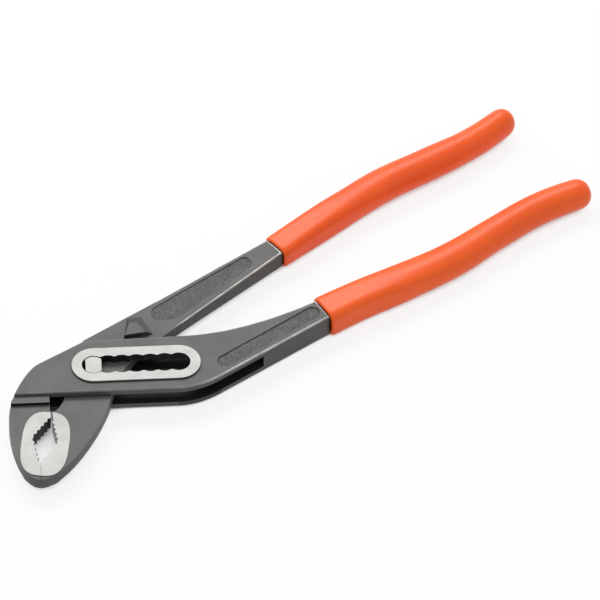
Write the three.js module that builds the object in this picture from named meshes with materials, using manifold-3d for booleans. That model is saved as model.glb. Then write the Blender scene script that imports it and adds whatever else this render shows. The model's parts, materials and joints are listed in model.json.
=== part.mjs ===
import * as THREE from 'three';
import { mergeVertices } from 'three/addons/utils/BufferGeometryUtils.js';
import Module from 'manifold-3d';

// Adjustable pliers with a through joint, in mm, lying on one side with the jaws closed.
// Drawn about the bolt: +X runs along the toothed slot towards the handles, +Y towards the
// inner lever's handle, and z = 0 is the middle plane of both levers.

const wasm = await Module();
wasm.setup();

// Placing: the slot leans away from the line between the two handles.
const slotLean = THREE.MathUtils.degToRad(30.1);

// Thicknesses, all centred on the middle plane.
const neckThickness = 5.0;
const neckSideClearance = 0.15;
const cheekThickness = 2.45;
const ringProud = 0.75;
const ledgeThickness = 7.6;
const landProud = 0.3;
const innerArmEndThickness = 8.0;
const lugThickness = 8.8;
const cavityThickness = neckThickness + 2 * neckSideClearance;
const boxThickness = cavityThickness + 2 * cheekThickness;
const ringThickness = boxThickness + 2 * ringProud;

// Adjusting slot: a straight channel with round notches, so what stands between them is its teeth.
const notchCount = 7;
const notchPitch = 5.2;
const notchRadius = 4.3;
const channelHalfWidth = 3.7;
const ringBand = 3.9;
const slotLength = (notchCount - 1) * notchPitch;
const ringRadius = notchRadius + ringBand;

// Bolt with two flats. Its rounds fill one notch; the flats let it past the teeth.
const boltClearance = 0.2;
const boltFlatWidth = 6.0;
const boltRecess = 0.1;
const pressFitClearance = 0.15;
const corePinRadius = 1.5;
const corePinClearance = 0.2;
const boltRadius = notchRadius - boltClearance;
const boltLength = ringThickness - 2 * boltRecess;

// Edge rounding.
const leverEdge = 0.6;
const jawEdge = 0.25;
const ringEdge = 0.2;
const boltEdge = 0.25;
const curveSteps = 12;
const edgeSteps = 2;
const weldDistance = 1e-4;

// Box of the outer lever.
const boxHalfWidth = 12.3;
const headTop = new THREE.Vector2(-2.9, 12.6);
const headBack = new THREE.Vector2(-19.9, 2.5);
const headBend = new THREE.Vector2(-24.9, -0.6);
const headFoot = new THREE.Vector2(-29.65, -boxHalfWidth);
const cavityBackRadius = 16.8;
const cavityEnd = 62.5;
const headOverlap = 4;
const ledgeWidth = 3.5;

// Outer lever's arm.
const outerArmTopStart = new THREE.Vector2(34, 13.4);
const outerArmTopBend = new THREE.Vector2(55.6, 13.9);
const outerArmBottomStart = 30.5;
const outerArmBottomBend = new THREE.Vector2(38.4, -boxHalfWidth);
const outerArmBottomTurn = new THREE.Vector2(46.5, -6.95);
const outerArmEndHalf = 4.65;

// Jaws. The jaws meet above and below a diamond-shaped hollow with a tooth row on each side.
const jawGap = 0.1;
const jawMeetTop = new THREE.Vector2(-16.65, -22.5);
const jawMeetBottom = new THREE.Vector2(-21.5, -44.1);
const jawTip = new THREE.Vector2(-21.5, -52.3);
const hollowOuter = new THREE.Vector2(-23.5, -31.6);
const hollowInner = new THREE.Vector2(-14.9, -34);
const toothCount = 5;
const toothDepth = 0.7;
const outerJawBend = [new THREE.Vector2(-31, -52), new THREE.Vector2(-35, -20)];
const innerJawBend = [new THREE.Vector2(-12, -52), new THREE.Vector2(3, -26)];
const landCentre = new THREE.Vector2(-19.3, -35.1);
const landLength = 31.2;
const landWidth = 17.5;
const landLean = THREE.MathUtils.degToRad(81.7);
const landSquareness = 2.8;
const landSides = 56;

// Neck of the inner lever, the part that passes between the cheeks.
const neckJawRight = new THREE.Vector2(5.9, -13.4);
const neckWaistBend = [new THREE.Vector2(8, -5), new THREE.Vector2(14, 9)];
const neckArmCorner = new THREE.Vector2(26.1, 15.5);
const neckBackTop = new THREE.Vector2(-3.2, 15.0);
const neckBackBottom = new THREE.Vector2(-11.2, -12.5);
const neckJawBend = new THREE.Vector2(-12.6, -17.5);
const neckJawLeft = -20.5;

// Inner lever's arm, which thickens from the neck to the grip.
const innerArmEndHalf = 4.2;
const innerArmAngle = THREE.MathUtils.degToRad(36.6);
const taperStart = 36;
const taperEnd = 92;
const armStart = 33;
const neckEnd = 39;

// Stop lug on both faces of the inner lever, upright on the box side and sloping on the others.
const lugFoot = [
  new THREE.Vector2(11.7, 15.1),
  new THREE.Vector2(23.0, 16.9),
  new THREE.Vector2(18.7, 26.0),
  new THREE.Vector2(13.4, 25.6),
];
const lugFace = [
  new THREE.Vector2(12.1, 15.2),
  new THREE.Vector2(19.8, 16.4),
  new THREE.Vector2(16.9, 21.4),
  new THREE.Vector2(14.0, 21.2),
];

// Shallow panels on both faces of each arm.
const panelDepth = 0.4;
const outerPanelStart = new THREE.Vector2(48.2, 0);
const outerPanelEnd = new THREE.Vector2(81.2, 21.9);
const outerPanelWidth = 5.8;
const innerPanelCorners = [
  new THREE.Vector2(22.4, 23.6),
  new THREE.Vector2(31.2, 23.6),
  new THREE.Vector2(61.2, 48.2),
  new THREE.Vector2(58.4, 52.9),
  new THREE.Vector2(22.4, 29.2),
];
const innerPanelRound = 2.4;

// Grips: sleeves on tangs that carry each arm on to the end of its handle.
const gripHalfHeight = ringThickness / 2;
const gripStartCoat = 0.7;
const gripRiseLength = 30;
const gripStartSquareness = 4.5;
const gripEndSquareness = 2.3;
const gripSquareLength = 34;
const gripStartGap = 0.3;
const gripFitClearance = 0.3;
const gripEndWall = 3.2;
const gripLip = 0.9;
const gripRings = 26;
const gripLipSteps = [0, 0.15, 0.45];
const gripDomeSteps = [0.3, 0.55, 0.75, 0.9, 0.98];
const gripSides = 24;
const tangSides = 16;
const tangRings = 12;
const tangSquareness = 4;
const tangOverlap = 6;
const outerHandleStart = new THREE.Vector2(79.9, 20.9);
const outerHandleLength = 123.27;
const outerHandleAngle = THREE.MathUtils.degToRad(29.77);
const outerHandleBow = [-0.05, -1.3, -1.7, 0.6, 2.15];
const innerHandleStart = new THREE.Vector2(64.57, 52.85);
const innerHandleLength = 116.8;
const innerHandleAngle = THREE.MathUtils.degToRad(35.15);
const innerHandleBow = [1.15, 2.05, 2.35, 0.2, -1.4];
const outerGripHalfWidths = [6.9, 6.5, 6.85, 6.95, 6.3, 6.05, 5.6];
const innerGripHalfWidths = [5.75, 5.75, 6.0, 6.55, 6.4, 5.6, 5.1];
const tangStartHalf = 3.6;
const tangEndHalf = 2.4;

const outerGripPath = handlePath(
  outerHandleStart, outerHandleLength, outerHandleAngle, outerHandleBow,
);
const innerGripPath = handlePath(
  innerHandleStart, innerHandleLength, innerHandleAngle, innerHandleBow,
);

// Each arm ends square to its grip, a tang overlap along the grip's path.
const [outerArmTopEnd, outerArmBottomEnd] = armEnd(outerGripPath, outerArmEndHalf);
const [innerArmTopEnd, innerArmBottomEnd] = armEnd(innerGripPath, innerArmEndHalf);

// Middle line of a handle. Its bows are even steps along the chord, positive to the chord's left.
function handlePath(start, length, angle, bows) {
  const along = new THREE.Vector3(Math.cos(angle), Math.sin(angle), 0);
  const left = new THREE.Vector3(-along.y, along.x, 0);
  const points = [0, ...bows, 0].map((bow, i) => new THREE.Vector3(start.x, start.y, 0)
    .addScaledVector(along, (length * i) / (bows.length + 1))
    .addScaledVector(left, bow));
  return new THREE.CatmullRomCurve3(points);
}

function armEnd(path, half) {
  const share = tangOverlap / path.getLength();
  const centre = path.getPointAt(share);
  const along = path.getTangentAt(share);
  const side = new THREE.Vector2(-along.y, along.x).multiplyScalar(half);
  const middle = new THREE.Vector2(centre.x, centre.y);
  return [middle.clone().add(side), middle.clone().sub(side)];
}

function toSolid(geometry) {
  geometry.deleteAttribute('normal');
  geometry.deleteAttribute('uv');
  const merged = mergeVertices(geometry, weldDistance);
  return new wasm.Manifold(new wasm.Mesh({
    numProp: 3,
    vertProperties: new Float32Array(merged.attributes.position.array),
    triVerts: new Uint32Array(merged.index.array),
  }));
}

function plateGeometry(shape, thickness, edge) {
  const geometry = new THREE.ExtrudeGeometry(shape, {
    depth: thickness - 2 * edge,
    curveSegments: curveSteps,
    bevelEnabled: edge > 0,
    bevelThickness: edge,
    bevelSize: edge,
    bevelOffset: -edge,
    bevelSegments: edgeSteps,
  });
  geometry.translate(0, 0, edge - thickness / 2);
  return geometry;
}

function plate(shape, thickness, edge = 0) {
  return toSolid(plateGeometry(shape, thickness, edge));
}

function polygon(points) {
  return new THREE.Shape(points);
}

function stadium(start, end, radius) {
  const along = Math.atan2(end.y - start.y, end.x - start.x);
  const shape = new THREE.Shape();
  shape.absarc(end.x, end.y, radius, along - Math.PI / 2, along + Math.PI / 2, false);
  shape.absarc(start.x, start.y, radius, along + Math.PI / 2, along + Math.PI * 1.5, false);
  return shape;
}

function roundedPolygon(corners, radius) {
  const shape = new THREE.Shape();
  corners.forEach((corner, i) => {
    const before = corners[(i + corners.length - 1) % corners.length];
    const after = corners[(i + 1) % corners.length];
    const from = before.clone().sub(corner).setLength(radius).add(corner);
    const to = after.clone().sub(corner).setLength(radius).add(corner);
    if (i === 0) {
      shape.moveTo(from.x, from.y);
    } else {
      shape.lineTo(from.x, from.y);
    }
    shape.quadraticCurveTo(corner.x, corner.y, to.x, to.y);
  });
  return shape;
}

// Adds a tooth row from the shape's present point to the given end; depth turns it into the jaw.
function toothRow(shape, end, depth) {
  const start = shape.currentPoint.clone();
  const along = end.clone().sub(start).normalize();
  const inward = new THREE.Vector2(-along.y, along.x).multiplyScalar(depth);
  for (let tooth = 0; tooth < toothCount; tooth += 1) {
    const root = start.clone().lerp(end, (tooth + 0.5) / toothCount).add(inward);
    const crest = start.clone().lerp(end, (tooth + 1) / toothCount);
    shape.lineTo(root.x, root.y);
    shape.lineTo(crest.x, crest.y);
  }
}

function slotShape() {
  const shape = new THREE.Shape();
  const corner = Math.asin(channelHalfWidth / notchRadius);
  for (let notch = 0; notch < notchCount; notch += 1) {
    const from = notch === 0 ? Math.PI : Math.PI + corner;
    const to = notch === notchCount - 1 ? 2 * Math.PI : 2 * Math.PI - corner;
    shape.absarc(notch * notchPitch, 0, notchRadius, from, to, false);
  }
  for (let notch = notchCount - 1; notch >= 0; notch -= 1) {
    const from = notch === notchCount - 1 ? 0 : corner;
    const to = notch === 0 ? Math.PI : Math.PI - corner;
    shape.absarc(notch * notchPitch, 0, notchRadius, from, to, false);
  }
  return shape;
}

// Round bar with two flats whose faces look along the slot.
function boltShape(radius, flatWidth) {
  const corner = Math.acos(flatWidth / 2 / radius);
  const shape = new THREE.Shape();
  shape.absarc(0, 0, radius, corner, Math.PI - corner, false);
  shape.absarc(0, 0, radius, Math.PI + corner, 2 * Math.PI - corner, false);
  return shape;
}

function circleShape(radius) {
  const shape = new THREE.Shape();
  shape.absarc(0, 0, radius, 0, 2 * Math.PI, false);
  return shape;
}

// Point at an angle on a unit circle that is drawn out towards a square.
function roundedSquare(angle, squareness) {
  return [Math.cos(angle), Math.sin(angle)]
    .map((value) => Math.sign(value) * Math.abs(value) ** (2 / squareness));
}

// Closed skin over rings of points that follow one another, with a fan over each end ring.
function ringGeometry(rings) {
  const sides = rings[0].length;
  const last = (rings.length - 1) * sides;
  const middle = (ring) => [0, 1, 2]
    .map((axis) => ring.reduce((sum, point) => sum + point[axis], 0) / sides);
  const points = [...rings.flat(), middle(rings[0]), middle(rings[rings.length - 1])];
  const index = [];
  for (let k = 0; k < sides; k += 1) {
    const next = (k + 1) % sides;
    for (let base = 0; base < last; base += sides) {
      index.push(base + k, base + next, base + sides + k);
      index.push(base + next, base + sides + next, base + sides + k);
    }
    index.push(last + sides, next, k);
    index.push(last + sides + 1, last + k, last + next);
  }
  const geometry = new THREE.BufferGeometry();
  geometry.setAttribute('position', new THREE.Float32BufferAttribute(points.flat(), 3));
  geometry.setIndex(index);
  return geometry;
}

// Closed loft along a path. sizeAt(t) gives the half width, half height and squareness at share t.
function loft(path, shares, sides, sizeAt) {
  const up = new THREE.Vector3(0, 0, 1);
  const rings = shares.map((share) => {
    const centre = path.getPointAt(share);
    const side = up.clone().cross(path.getTangentAt(share));
    const [halfWidth, halfHeight, squareness] = sizeAt(share);
    return Array.from({ length: sides }, (_, k) => {
      const [across, rise] = roundedSquare((2 * Math.PI * k) / sides, squareness);
      const point = centre.clone().addScaledVector(side, halfWidth * across);
      return [point.x, point.y, halfHeight * rise];
    });
  });
  return toSolid(ringGeometry(rings));
}

// Outer lever: head, box and arm in one outline.
function outerBodyShape() {
  const shape = new THREE.Shape();
  shape.moveTo(headFoot.x, headFoot.y);
  shape.lineTo(outerArmBottomStart, -boxHalfWidth);
  shape.quadraticCurveTo(
    outerArmBottomBend.x, outerArmBottomBend.y, outerArmBottomTurn.x, outerArmBottomTurn.y,
  );
  shape.lineTo(outerArmBottomEnd.x, outerArmBottomEnd.y);
  shape.lineTo(outerArmTopEnd.x, outerArmTopEnd.y);
  shape.quadraticCurveTo(
    outerArmTopBend.x, outerArmTopBend.y, outerArmTopStart.x, outerArmTopStart.y,
  );
  shape.lineTo(headTop.x, headTop.y);
  shape.lineTo(headBack.x, headBack.y);
  shape.quadraticCurveTo(headBend.x, headBend.y, headFoot.x, headFoot.y);
  return shape;
}

function outerJawShape() {
  const half = jawGap / 2;
  const [tipBend, backBend] = outerJawBend;
  const shape = new THREE.Shape();
  shape.moveTo(-cavityBackRadius, headFoot.y + headOverlap);
  shape.lineTo(headFoot.x + headOverlap, headFoot.y + headOverlap);
  shape.lineTo(headFoot.x, headFoot.y);
  shape.bezierCurveTo(
    backBend.x, backBend.y, tipBend.x, tipBend.y, jawTip.x - half, jawTip.y,
  );
  shape.lineTo(jawMeetBottom.x - half, jawMeetBottom.y);
  toothRow(shape, hollowOuter, toothDepth);
  toothRow(shape, new THREE.Vector2(jawMeetTop.x - half, jawMeetTop.y), toothDepth);
  return shape;
}

function innerNeckShape() {
  const half = jawGap / 2;
  const [tipBend, sideBend] = innerJawBend;
  const [lowBend, highBend] = neckWaistBend;
  const along = new THREE.Vector2(Math.cos(innerArmAngle), Math.sin(innerArmAngle));
  const topCut = cutAlong(neckBackTop, innerArmTopEnd, along, neckEnd);
  const bottomCut = cutAlong(neckArmCorner, innerArmBottomEnd, along, neckEnd);
  const shape = new THREE.Shape();
  shape.moveTo(jawTip.x + half, jawTip.y);
  shape.bezierCurveTo(
    tipBend.x, tipBend.y, sideBend.x, sideBend.y, neckJawRight.x, neckJawRight.y,
  );
  shape.bezierCurveTo(
    lowBend.x, lowBend.y, highBend.x, highBend.y, neckArmCorner.x, neckArmCorner.y,
  );
  shape.lineTo(bottomCut.x, bottomCut.y);
  shape.lineTo(topCut.x, topCut.y);
  shape.lineTo(neckBackTop.x, neckBackTop.y);
  shape.lineTo(neckBackBottom.x, neckBackBottom.y);
  shape.quadraticCurveTo(neckJawBend.x, neckJawBend.y, jawMeetTop.x + half, neckJawLeft);
  shape.lineTo(jawMeetTop.x + half, jawMeetTop.y);
  toothRow(shape, hollowInner, toothDepth);
  toothRow(shape, new THREE.Vector2(jawMeetBottom.x + half, jawMeetBottom.y), toothDepth);
  return shape;
}

// Point between two others at a given reach along a direction from the bolt.
function cutAlong(from, to, along, reach) {
  const share = (reach - from.dot(along)) / (to.dot(along) - from.dot(along));
  return from.clone().lerp(to, share);
}

// Scales z in step with the reach along the inner arm, so its faces taper evenly.
function taperInnerArm(geometry) {
  const place = geometry.attributes.position;
  for (let i = 0; i < place.count; i += 1) {
    const reach = place.getX(i) * Math.cos(innerArmAngle) + place.getY(i) * Math.sin(innerArmAngle);
    const share = (reach - taperStart) / (taperEnd - taperStart);
    const thickness = neckThickness + (innerArmEndThickness - neckThickness) * share;
    place.setZ(i, (place.getZ(i) * thickness) / innerArmEndThickness);
  }
  return geometry;
}

function innerArm() {
  const along = new THREE.Vector2(Math.cos(innerArmAngle), Math.sin(innerArmAngle));
  const shape = polygon([
    cutAlong(neckArmCorner, innerArmBottomEnd, along, armStart),
    innerArmBottomEnd,
    innerArmTopEnd,
    cutAlong(neckBackTop, innerArmTopEnd, along, armStart),
  ]);
  return toSolid(taperInnerArm(plateGeometry(shape, innerArmEndThickness, leverEdge)));
}

// Four corners at each of four levels: a face, two feet inside the neck and the other face.
function lug() {
  const foot = neckThickness / 2 - jawEdge;
  const levels = [
    [lugFace, -lugThickness / 2],
    [lugFoot, -foot],
    [lugFoot, foot],
    [lugFace, lugThickness / 2],
  ];
  const rings = levels.map(([corners, height]) => corners.map((corner) => [corner.x, corner.y, height]));
  return toSolid(ringGeometry(rings));
}

function groundLand(jaw) {
  const points = Array.from({ length: landSides }, (_, i) => {
    const [along, across] = roundedSquare((2 * Math.PI * i) / landSides, landSquareness);
    return new THREE.Vector2((landLength / 2) * along, (landWidth / 2) * across)
      .rotateAround(new THREE.Vector2(), landLean)
      .add(landCentre);
  });
  const oval = plate(polygon(points), neckThickness + 2 * landProud);
  return oval.intersect(plate(jaw, boxThickness));
}

// A cutter for one face, lifted to the face's height; the other face takes its mirror.
function panelCutters(shape, faceThickness, finish) {
  const cutters = [1, -1].map((side) => {
    const geometry = plateGeometry(shape, 2 * panelDepth, 0);
    geometry.translate(0, 0, (side * faceThickness) / 2);
    return toSolid(finish(geometry));
  });
  return cutters[0].add(cutters[1]);
}

function tangHalf(share) {
  return tangStartHalf + (tangEndHalf - tangStartHalf) * share;
}

function evenShares(from, to, count) {
  return Array.from({ length: count }, (_, i) => from + ((to - from) * i) / (count - 1));
}

function tang(path, growth, from, to) {
  const size = (share) => [tangHalf(share) + growth, tangHalf(share) + growth, tangSquareness];
  return loft(path, evenShares(from, to, tangRings), tangSides, size);
}

// Sleeve whose half widths are spread evenly along its path, square like the arm at its start,
// round further on and rounded at both ends.
function grip(path, halfWidths, armThickness) {
  const length = path.getLength();
  const lipShare = gripLip / length;
  const domeShare = gripHalfHeight / length;
  const startShare = (tangOverlap + gripStartGap) / length;
  const widthAt = (share) => {
    const place = share * (halfWidths.length - 1);
    const step = Math.min(Math.floor(place), halfWidths.length - 2);
    const blend = THREE.MathUtils.smoothstep(place - step, 0, 1);
    return THREE.MathUtils.lerp(halfWidths[step], halfWidths[step + 1], blend);
  };
  const sizeAt = (share) => {
    const intoLip = Math.min((share - startShare) / lipShare, 1);
    const lip = gripLip * (1 - Math.sqrt(1 - (1 - intoLip) ** 2));
    const intoDome = Math.max((share - (1 - domeShare)) / domeShare, 0);
    const dome = Math.sqrt(Math.max(1 - intoDome ** 2, 0));
    const reach = (share - startShare) * length;
    const rise = THREE.MathUtils.smoothstep(reach, 0, gripRiseLength);
    const halfHeight = THREE.MathUtils.lerp(armThickness / 2 + gripStartCoat, gripHalfHeight, rise);
    const rounding = THREE.MathUtils.smoothstep(reach, 0, gripSquareLength);
    const squareness = THREE.MathUtils.lerp(gripStartSquareness, gripEndSquareness, rounding);
    return [(widthAt(share) - lip) * dome, (halfHeight - lip) * dome, squareness];
  };
  const lipShares = gripLipSteps.map((part) => startShare + part * lipShare);
  const bodyShares = evenShares(startShare + lipShare, 1 - domeShare, gripRings);
  const domeShares = gripDomeSteps.map((part) => 1 - domeShare + part * domeShare);
  const body = loft(path, [...lipShares, ...bodyShares, ...domeShares], gripSides, sizeAt);
  const socketEnd = 1 - (gripEndWall - gripFitClearance) / length;
  return body.subtract(tang(path, gripFitClearance, 0, socketEnd));
}

function tangInto(path) {
  const length = path.getLength();
  return tang(path, 0, 0, 1 - gripEndWall / length);
}

const steel = new THREE.MeshStandardMaterial({ color: 0x7d7d7a, roughness: 0.45, metalness: 0.85 });
const groundSteel = new THREE.MeshStandardMaterial({ color: 0xd8d8d4, roughness: 0.3, metalness: 0.9 });
const dippedVinyl = new THREE.MeshStandardMaterial({ color: 0xe04a1a, roughness: 0.4, metalness: 0 });

// Cavity between the cheeks, open above, below and behind, closed at the arm.
const cavityShape = new THREE.Shape();
cavityShape.moveTo(-cavityBackRadius, -cavityEnd);
cavityShape.lineTo(cavityEnd, -cavityEnd);
cavityShape.lineTo(cavityEnd, cavityEnd);
cavityShape.lineTo(0, cavityEnd);
cavityShape.lineTo(0, cavityBackRadius);
cavityShape.absarc(0, 0, cavityBackRadius, Math.PI / 2, Math.PI, false);

const outerJaw = outerJawShape();
const ledgeShape = polygon([
  new THREE.Vector2(headFoot.x - headOverlap, headFoot.y - ledgeWidth),
  new THREE.Vector2(-cavityBackRadius, headFoot.y - ledgeWidth),
  new THREE.Vector2(-cavityBackRadius, headFoot.y + headOverlap),
  new THREE.Vector2(headFoot.x - headOverlap, headFoot.y + headOverlap),
]);
const ledge = plate(ledgeShape, ledgeThickness).intersect(plate(outerJaw, boxThickness));
const ring = plate(
  stadium(new THREE.Vector2(0, 0), new THREE.Vector2(slotLength, 0), ringRadius), ringThickness, ringEdge,
);
const outerPanel = panelCutters(
  stadium(outerPanelStart, outerPanelEnd, outerPanelWidth / 2), boxThickness, (geometry) => geometry,
);
const outerLever = plate(outerBodyShape(), boxThickness, leverEdge)
  .add(ring)
  .subtract(plate(cavityShape, cavityThickness))
  .subtract(plate(slotShape(), 2 * ringThickness))
  .subtract(outerPanel)
  .add(plate(outerJaw, neckThickness, jawEdge))
  .add(ledge)
  .add(groundLand(outerJaw))
  .add(tangInto(outerGripPath));

const innerNeck = innerNeckShape();
const innerPanel = panelCutters(
  roundedPolygon(innerPanelCorners, innerPanelRound), innerArmEndThickness, taperInnerArm,
);
const innerLever = plate(innerNeck, neckThickness, jawEdge)
  .add(innerArm())
  .subtract(innerPanel)
  .add(lug())
  .add(groundLand(innerNeck))
  .add(tangInto(innerGripPath))
  .subtract(plate(
    boltShape(boltRadius + pressFitClearance, boltFlatWidth + 2 * pressFitClearance), 2 * ringThickness,
  ));

const bolt = plate(boltShape(boltRadius, boltFlatWidth), boltLength, boltEdge)
  .subtract(plate(circleShape(corePinRadius + corePinClearance), 2 * ringThickness));
const corePin = plate(circleShape(corePinRadius), boltLength, boltEdge);

const group = new THREE.Group();

function addNode(name, body, material) {
  const mesh = body.getMesh();
  const geometry = new THREE.BufferGeometry();
  geometry.setAttribute('position', new THREE.BufferAttribute(new Float32Array(mesh.vertProperties), 3));
  geometry.setIndex(new THREE.BufferAttribute(new Uint32Array(mesh.triVerts), 1));
  geometry.rotateZ(-slotLean);
  const node = new THREE.Mesh(geometry, material);
  node.name = name;
  group.add(node);
}

addNode('outer_lever', outerLever, steel);
addNode('inner_lever', innerLever, steel);
addNode('pivot_bolt', bolt, groundSteel);
addNode('bolt_core_pin', corePin, groundSteel);
addNode('outer_grip', grip(outerGripPath, outerGripHalfWidths, boxThickness), dippedVinyl);
addNode('inner_grip', grip(innerGripPath, innerGripHalfWidths, innerArmEndThickness), dippedVinyl);

// Origin in the middle of the part's underside.
const bounds = new THREE.Box3().setFromObject(group);
const centre = bounds.getCenter(new THREE.Vector3());
group.children.forEach((node) => {
  node.geometry.translate(-centre.x, -centre.y, -bounds.min.z);
  node.geometry.computeVertexNormals();
});

export default group;
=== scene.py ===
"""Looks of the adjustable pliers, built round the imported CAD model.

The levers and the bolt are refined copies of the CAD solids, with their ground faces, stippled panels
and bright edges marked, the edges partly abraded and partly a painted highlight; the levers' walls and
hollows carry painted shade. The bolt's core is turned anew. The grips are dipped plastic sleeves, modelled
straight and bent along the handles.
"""
import json
import logging
import math
from dataclasses import dataclass, field
from enum import Enum
from typing import Callable

import bpy
from mathutils import Matrix, Vector


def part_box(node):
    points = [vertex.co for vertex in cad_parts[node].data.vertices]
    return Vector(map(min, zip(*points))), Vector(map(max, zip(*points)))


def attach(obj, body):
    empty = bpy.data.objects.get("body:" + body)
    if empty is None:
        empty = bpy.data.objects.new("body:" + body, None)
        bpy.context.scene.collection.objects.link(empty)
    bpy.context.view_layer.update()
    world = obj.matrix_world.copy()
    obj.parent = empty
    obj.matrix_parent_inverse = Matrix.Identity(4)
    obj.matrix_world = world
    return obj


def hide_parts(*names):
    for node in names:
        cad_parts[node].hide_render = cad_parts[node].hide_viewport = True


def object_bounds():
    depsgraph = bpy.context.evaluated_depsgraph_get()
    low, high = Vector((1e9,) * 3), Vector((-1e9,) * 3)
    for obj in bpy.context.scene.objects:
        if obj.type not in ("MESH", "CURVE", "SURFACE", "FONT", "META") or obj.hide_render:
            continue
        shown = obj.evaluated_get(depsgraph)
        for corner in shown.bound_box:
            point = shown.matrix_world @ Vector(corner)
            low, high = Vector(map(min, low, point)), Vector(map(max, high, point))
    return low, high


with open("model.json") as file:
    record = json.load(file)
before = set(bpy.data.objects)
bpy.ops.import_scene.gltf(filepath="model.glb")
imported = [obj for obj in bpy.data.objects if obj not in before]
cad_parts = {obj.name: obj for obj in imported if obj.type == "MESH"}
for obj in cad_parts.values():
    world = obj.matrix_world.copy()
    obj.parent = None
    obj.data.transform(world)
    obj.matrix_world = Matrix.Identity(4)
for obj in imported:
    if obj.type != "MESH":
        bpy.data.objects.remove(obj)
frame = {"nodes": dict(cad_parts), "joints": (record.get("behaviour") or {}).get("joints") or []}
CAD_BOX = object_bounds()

log = logging.getLogger("pliers")

MM = 0.001
WELD = 0.001 * MM
Colour = tuple[float, float, float, float]
Pair = tuple[float, float]
Feed = bpy.types.NodeSocket | float | tuple[float, ...]
FaceTest = Callable[[bpy.types.MeshPolygon], bool]

FULL_SPAN: Pair = (0.0, 1.0)
NOISE_SPAN: Pair = (0.3, 0.7)
OCCLUSION_SAMPLES = 8
# A Mix node repeats its socket names for each kind of data, so its colours go by number.
MIX_SHARE, MIX_FIRST, MIX_SECOND, MIX_RESULT = 0, 6, 7, 2


class Role(Enum):
    """What a material slot of a steel piece is for."""

    FORGED = 0
    GROUND = 1
    PANEL = 2
    # Painted shade: a darker copy of the forged steel, for faces turned from the light.
    SCALED = 3
    # Painted shadow: near black, for the box's inside and the head's step.
    SOOTED = 4


def joint_axis(name: str) -> Vector:
    """Finds a joint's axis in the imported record.

    Args:
        name: The joint's name.

    Returns:
        The axis as a unit vector.
    """
    row = next(joint for joint in frame["joints"] if joint["name"] == name)
    return Vector(row["axis"]).normalized()


def node_centre(name: str) -> Vector:
    """Finds the middle of a CAD node's box.

    Args:
        name: The node's name.

    Returns:
        The middle of its box, in metres.
    """
    low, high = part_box(name)
    return (low + high) / 2


BOLT = node_centre("bolt_core_pin")
SLOT = joint_axis("slot_slide")
SIDE = Vector((-SLOT.y, SLOT.x, 0.0))


def from_bolt(along: float, across: float) -> Vector:
    """Places a point in the middle plane by its distances from the bolt.

    Args:
        along: Distance along the slot towards the handles, in mm.
        across: Distance to the slot's left, in mm.

    Returns:
        The point in metres.
    """
    return BOLT + (SLOT * along + SIDE * across) * MM


def take_hold(piece: bpy.types.Object) -> None:
    """Makes a piece the only selected and the active object.

    Args:
        piece: The object to work on.
    """
    bpy.ops.object.select_all(action="DESELECT")
    piece.select_set(True)
    bpy.context.view_layer.objects.active = piece


def pick_faces(piece: bpy.types.Object, wanted: FaceTest) -> int:
    """Selects the faces of a piece that pass a test, ready for edit mode.

    Args:
        piece: The mesh object, in object mode.
        wanted: The test for one face.

    Returns:
        How many faces are selected.
    """
    for part in (piece.data.vertices, piece.data.edges):
        part.foreach_set("select", [False] * len(part))
    for face in piece.data.polygons:
        face.select = wanted(face)
    return sum(face.select for face in piece.data.polygons)


def smooth(share: float) -> float:
    """Eases a share in and out.

    Args:
        share: A number, clamped to 0 and 1.

    Returns:
        The eased share.
    """
    held = min(max(share, 0.0), 1.0)
    return held * held * (3 - 2 * held)


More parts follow.
